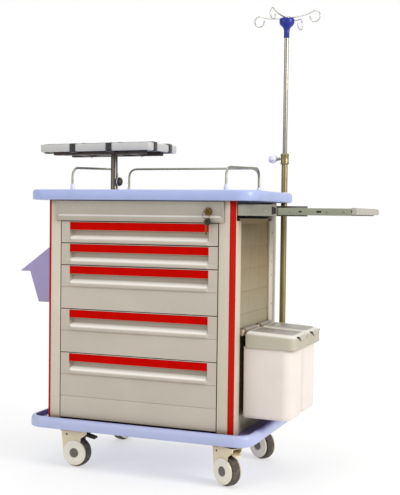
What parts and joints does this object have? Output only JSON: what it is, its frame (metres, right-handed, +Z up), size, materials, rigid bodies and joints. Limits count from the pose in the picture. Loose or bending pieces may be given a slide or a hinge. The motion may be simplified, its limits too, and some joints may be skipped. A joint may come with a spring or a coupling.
{
  "type": "crash cart",
  "caption": "Hospital crash cart with stacked drawers, worktop with guard rails, defibrillator platform, infusion pole, pull-out side shelf, waste bins and castors.",
  "frame": {"origin": "on the floor, under the middle of the whole outline with the side shelf pulled out", "axes": "+Z up, -Y toward the drawer fronts, +X toward the side with the bins and the infusion pole"},
  "size_m": [1.2285, 0.5787, 1.5961],
  "materials": {
    "blue_abs": "satin moulded ABS",
    "cream_abs": "satin moulded ABS",
    "putty_abs": "satin moulded ABS",
    "red_trim": "gloss",
    "grey_abs": "satin",
    "lilac_abs": "satin",
    "white_abs": "satin",
    "beige_abs": "satin",
    "deep_blue_plastic": "gloss",
    "pale_blue_plastic": "satin",
    "black_plastic": "moulded, slightly rough",
    "tyre": "matt rubber",
    "steel": "brushed stainless steel",
    "brass": "polished",
    "dark_frame": "semi-matt",
    "strap": "woven webbing",
    "label": "gloss strip under a clear cover"
  },
  "bodies": {
    "frame": {"base_tray": "blue_abs", "worktop": "blue_abs", "front_column_left": "cream_abs", "front_column_right": "cream_abs", "rear_column_left": "cream_abs", "rear_column_right": "cream_abs", "red_trim_left": "red_trim", "red_trim_right": "red_trim", "side_panel_left": "putty_abs", "side_panel_right": "putty_abs", "back_panel": "cream_abs", "shelf_bay_floor": "putty_abs", "header_panel": "putty_abs", "lock_barrel": "brass", "shelf_runner_front": "steel", "shelf_runner_rear": "steel", "guard_rail_left": "steel", "guard_rail_right": "steel", "guard_rail_rear": "steel", "iv_pole_lower": "steel", "iv_pole_collar": "steel", "iv_pole_bracket": "steel", "bin_hanger_rail": "cream_abs", "storage_box": "lilac_abs"},
    "key": {"key": "brass"},
    "shelf": {"shelf_plate": "grey_abs", "shelf_handle": "beige_abs"},
    "shelf_sliders": {"shelf_slider_front": "steel", "shelf_slider_rear": "steel"},
    "platform": {"platform_post": "steel", "platform_plate": "grey_abs"},
    "platform_knob": {"platform_knob": "black_plastic"},
    "iv_pole": {"iv_pole_upper": "steel", "iv_pole_head": "deep_blue_plastic", "iv_pole_hooks": "steel"},
    "iv_knob": {"iv_pole_knob": "pale_blue_plastic"},
    "bin_front": {"bin_front": "white_abs"},
    "bin_rear": {"bin_rear": "white_abs"},
    "bin_lid_front": {"bin_lid_front": "beige_abs"},
    "bin_lid_rear": {"bin_lid_rear": "beige_abs"},
    "drawer_1": {"drawer_1_front": "putty_abs", "drawer_1_tray": "cream_abs"},
    "drawer_2": {"drawer_2_front": "putty_abs", "drawer_2_tray": "cream_abs"},
    "drawer_3": {"drawer_3_front": "putty_abs", "drawer_3_tray": "cream_abs"},
    "drawer_4": {"drawer_4_front": "putty_abs", "drawer_4_tray": "cream_abs"},
    "drawer_5": {"drawer_5_front": "putty_abs", "drawer_5_tray": "cream_abs"},
    "castor_front_left": {"castor_front_left_fork": "putty_abs"},
    "castor_front_left_wheel": {"castor_front_left_wheel": "tyre"},
    "castor_front_left_pedal": {"castor_front_left_pedal": "black_plastic"},
    "castor_front_right": {"castor_front_right_fork": "putty_abs"},
    "castor_front_right_wheel": {"castor_front_right_wheel": "tyre"},
    "castor_front_right_pedal": {"castor_front_right_pedal": "cream_abs"},
    "castor_rear_left": {"castor_rear_left_fork": "putty_abs"},
    "castor_rear_left_wheel": {"castor_rear_left_wheel": "tyre"},
    "castor_rear_right": {"castor_rear_right_fork": "putty_abs"},
    "castor_rear_right_wheel": {"castor_rear_right_wheel": "tyre"}
  },
  "joints": [
    {"name": "drawer_1_slide", "type": "slide", "parent": "frame", "child": "drawer_1", "axis": [0, -1, 0], "range_m": [0, 0.36]},
    {"name": "drawer_2_slide", "type": "slide", "parent": "frame", "child": "drawer_2", "axis": [0, -1, 0], "range_m": [0, 0.36]},
    {"name": "drawer_3_slide", "type": "slide", "parent": "frame", "child": "drawer_3", "axis": [0, -1, 0], "range_m": [0, 0.36]},
    {"name": "drawer_4_slide", "type": "slide", "parent": "frame", "child": "drawer_4", "axis": [0, -1, 0], "range_m": [0, 0.36]},
    {"name": "drawer_5_slide", "type": "slide", "parent": "frame", "child": "drawer_5", "axis": [0, -1, 0], "range_m": [0, 0.36]},
    {"name": "shelf_slide", "type": "slide", "parent": "frame", "child": "shelf", "axis": [1, 0, 0], "range_m": [-0.369, 0]},
    {"name": "shelf_slider_slide", "type": "slide", "parent": "frame", "child": "shelf_sliders", "axis": [1, 0, 0], "range_m": [-0.185, 0]},
    {"name": "key_turn", "type": "hinge", "parent": "frame", "child": "key", "pos_m": [0.134, -0.2677, 0.885], "axis": [0, 1, 0], "range_deg": [0, 90]},
    {"name": "platform_swivel", "type": "hinge", "parent": "frame", "child": "platform", "pos_m": [-0.3545, 0.0353, 1.01], "axis": [0, 0, 1], "continuous": true},
    {"name": "platform_knob_turn", "type": "hinge", "parent": "platform", "child": "platform_knob", "pos_m": [-0.3545, 0.0353, 0.993], "axis": [1, 0, 0], "range_deg": [0, 360]},
    {"name": "iv_pole_slide", "type": "slide", "parent": "frame", "child": "iv_pole", "axis": [0, 0, 1], "range_m": [-0.38, 0.3]},
    {"name": "iv_knob_turn", "type": "hinge", "parent": "frame", "child": "iv_knob", "pos_m": [0.2615, 0.1603, 1.078], "axis": [-1, 0, 0], "range_deg": [0, 360]},
    {"name": "bin_front_lift", "type": "slide", "parent": "frame", "child": "bin_front", "axis": [0, 0, 1], "range_m": [0, 0.04]},
    {"name": "bin_lid_front_hinge", "type": "hinge", "parent": "bin_front", "child": "bin_lid_front", "pos_m": [0.24, -0.1097, 0.496], "axis": [0, -1, 0], "range_deg": [0, 80]},
    {"name": "bin_rear_lift", "type": "slide", "parent": "frame", "child": "bin_rear", "axis": [0, 0, 1], "range_m": [0, 0.04]},
    {"name": "bin_lid_rear_hinge", "type": "hinge", "parent": "bin_rear", "child": "bin_lid_rear", "pos_m": [0.24, 0.0523, 0.496], "axis": [0, -1, 0], "range_deg": [0, 80]},
    {"name": "castor_front_left_swivel", "type": "hinge", "parent": "frame", "child": "castor_front_left", "pos_m": [-0.3925, -0.2297, 0.11], "axis": [0, 0, 1], "continuous": true},
    {"name": "castor_front_left_roll", "type": "hinge", "parent": "castor_front_left", "child": "castor_front_left_wheel", "pos_m": [-0.3545, -0.2297, 0.05], "axis": [0, 1, 0], "continuous": true},
    {"name": "castor_front_left_pedal_press", "type": "hinge", "parent": "castor_front_left", "child": "castor_front_left_pedal", "pos_m": [-0.3465, -0.2297, 0.115], "axis": [0, 1, 0], "range_deg": [0, 10]},
    {"name": "castor_front_right_swivel", "type": "hinge", "parent": "frame", "child": "castor_front_right", "pos_m": [0.1715, -0.2297, 0.11], "axis": [0, 0, 1], "continuous": true},
    {"name": "castor_front_right_roll", "type": "hinge", "parent": "castor_front_right", "child": "castor_front_right_wheel", "pos_m": [0.20474, -0.24812, 0.05], "axis": [0.4848, 0.8746, 0], "continuous": true},
    {"name": "castor_front_right_pedal_press", "type": "hinge", "parent": "castor_front_right", "child": "castor_front_right_pedal", "pos_m": [0.21173, -0.252, 0.115], "axis": [0.4848, 0.8746, 0], "range_deg": [0, 10]},
    {"name": "castor_rear_left_swivel", "type": "hinge", "parent": "frame", "child": "castor_rear_left", "pos_m": [-0.3925, 0.1503, 0.11], "axis": [0, 0, 1], "continuous": true},
    {"name": "castor_rear_left_roll", "type": "hinge", "parent": "castor_rear_left", "child": "castor_rear_left_wheel", "pos_m": [-0.38266, 0.18701, 0.05], "axis": [-0.9659, 0.2588, 0], "continuous": true},
    {"name": "castor_rear_right_swivel", "type": "hinge", "parent": "frame", "child": "castor_rear_right", "pos_m": [0.1695, 0.1503, 0.11], "axis": [0, 0, 1], "continuous": true},
    {"name": "castor_rear_right_roll", "type": "hinge", "parent": "castor_rear_right", "child": "castor_rear_right_wheel", "pos_m": [0.20241, 0.1313, 0.05], "axis": [0.5, 0.866, 0], "continuous": true}
  ],
  "couplings": [
    {"joint": "shelf_slider_slide", "follows": "shelf_slide", "ratio": 0.5}
  ]
}
